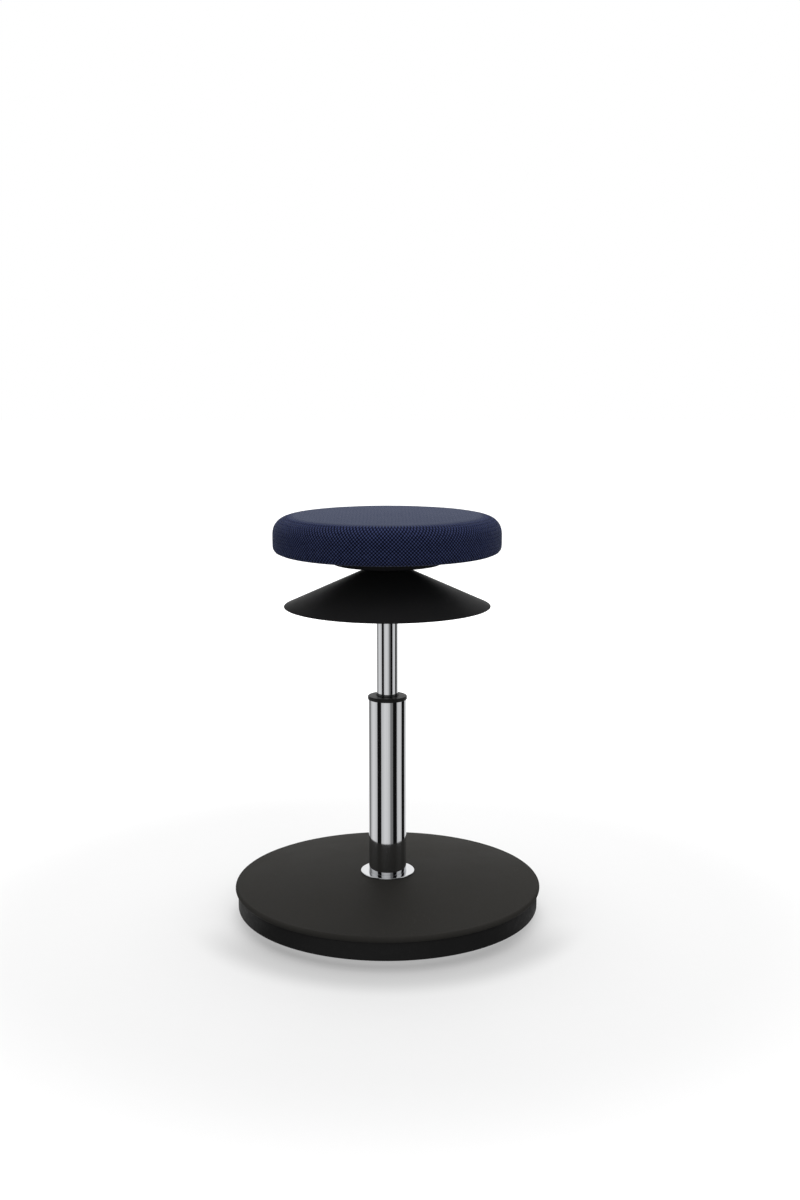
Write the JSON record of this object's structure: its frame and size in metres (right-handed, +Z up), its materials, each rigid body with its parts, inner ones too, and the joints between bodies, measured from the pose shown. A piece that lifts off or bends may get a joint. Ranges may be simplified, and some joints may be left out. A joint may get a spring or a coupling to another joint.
{
  "type": "wobble stool",
  "caption": "Round wobble stool: padded disc seat on a gas lift column, a release cone under the seat, and a weighted base with a domed underside that rocks to every side.",
  "frame": {"origin": "middle of the base, on the floor", "axes": "+Z up along the column, +X to the right and -Y towards the camera of the picture"},
  "size_m": [0.4076, 0.4076, 0.5365],
  "materials": {
    "fabric_navy": "matte",
    "lining_black": "matte",
    "foam": "matte",
    "plywood": "satin",
    "plastic_black": "satin",
    "plastic_base": "satin",
    "plastic_shell": "matte",
    "plastic_guide": "satin",
    "chrome": "polished",
    "steel_bare": "satin",
    "steel_black": "satin",
    "steel_zinc": "satin",
    "cast_iron": "matte",
    "brass": "satin",
    "rubber_black": "matte"
  },
  "bodies": {
    "base": {"floor_pad": "rubber_black", "rocker_shell": "plastic_shell", "ballast_disc": "cast_iron", "ballast_screws": "steel_zinc", "column_hub": "steel_black", "hub_bolts": "steel_zinc", "base_cover": "plastic_base", "shell_screws": "steel_black", "column_ring": "chrome", "column_tube": "chrome", "guide_bush": "plastic_guide", "lower_bearing_washer": "steel_bare"},
    "ball_cage": {"bearing_cage": "brass", "bearing_balls": "steel_bare"},
    "lift_rod": {"piston_rod": "steel_bare", "rod_clip": "steel_bare", "bump_stop": "rubber_black", "piston": "brass", "piston_ring": "rubber_black", "upper_bearing_washer": "steel_bare"},
    "seat": {"gas_cylinder": "chrome", "rod_guide": "brass", "rod_seal": "rubber_black", "valve_body": "brass", "taper_socket": "steel_bare", "socket_clip": "steel_black", "seat_plate": "steel_black", "underplate_cover": "plastic_black", "underplate_screws": "steel_black", "seat_board": "plywood", "tee_nuts": "steel_zinc", "seat_screws": "steel_zinc", "seat_foam": "foam", "seat_cover": "fabric_navy", "seat_liner": "lining_black", "lever_bracket": "steel_zinc", "lever_pins": "steel_bare", "return_spring": "steel_bare"},
    "release": {"release_cone": "plastic_black", "cone_hub": "plastic_black"},
    "lever_1": {"release_lever_1": "steel_zinc"},
    "lever_2": {"release_lever_2": "steel_zinc"},
    "lever_3": {"release_lever_3": "steel_zinc"},
    "valve_button": {"valve_pin": "steel_bare"}
  },
  "joints": [
    {"name": "seat_swivel", "type": "hinge", "parent": "base", "child": "lift_rod", "pos_m": [0, 0, 0.02], "axis": [0, 0, 1], "continuous": true},
    {"name": "cage_spin", "type": "hinge", "parent": "base", "child": "ball_cage", "pos_m": [0, 0, 0.0165], "axis": [0, 0, 1], "continuous": true},
    {"name": "seat_height", "type": "slide", "parent": "lift_rod", "child": "seat", "axis": [0, 0, 1], "range_m": [-0.14, 0]},
    {"name": "release_lift", "type": "slide", "parent": "seat", "child": "release", "axis": [0, 0, 1], "range_m": [0, 0.0032], "stiffness_N_per_m": 2000, "springref_m": -0.003, "deforming": ["return_spring"]},
    {"name": "valve_press", "type": "slide", "parent": "seat", "child": "valve_button", "axis": [0, 0, -1], "range_m": [0, 0.0023]},
    {"name": "lever_1_tilt", "type": "hinge", "parent": "seat", "child": "lever_1", "pos_m": [0, 0.012, 0.496], "axis": [1, 0, 0], "range_deg": [0, 14.8]},
    {"name": "lever_2_tilt", "type": "hinge", "parent": "seat", "child": "lever_2", "pos_m": [-0.01039, -0.006, 0.496], "axis": [-0.5, 0.866, 0], "range_deg": [0, 14.8]},
    {"name": "lever_3_tilt", "type": "hinge", "parent": "seat", "child": "lever_3", "pos_m": [0.01039, -0.006, 0.496], "axis": [-0.5, -0.866, 0], "range_deg": [0, 14.8]}
  ],
  "couplings": [
    {"joint": "cage_spin", "follows": "seat_swivel", "ratio": 0.5},
    {"joint": "valve_press", "follows": "release_lift", "ratio": 0.688},
    {"joint": "lever_1_tilt", "follows": "release_lift", "rad_per_m": 80},
    {"joint": "lever_2_tilt", "follows": "release_lift", "rad_per_m": 80},
    {"joint": "lever_3_tilt", "follows": "release_lift", "rad_per_m": 80}
  ]
}
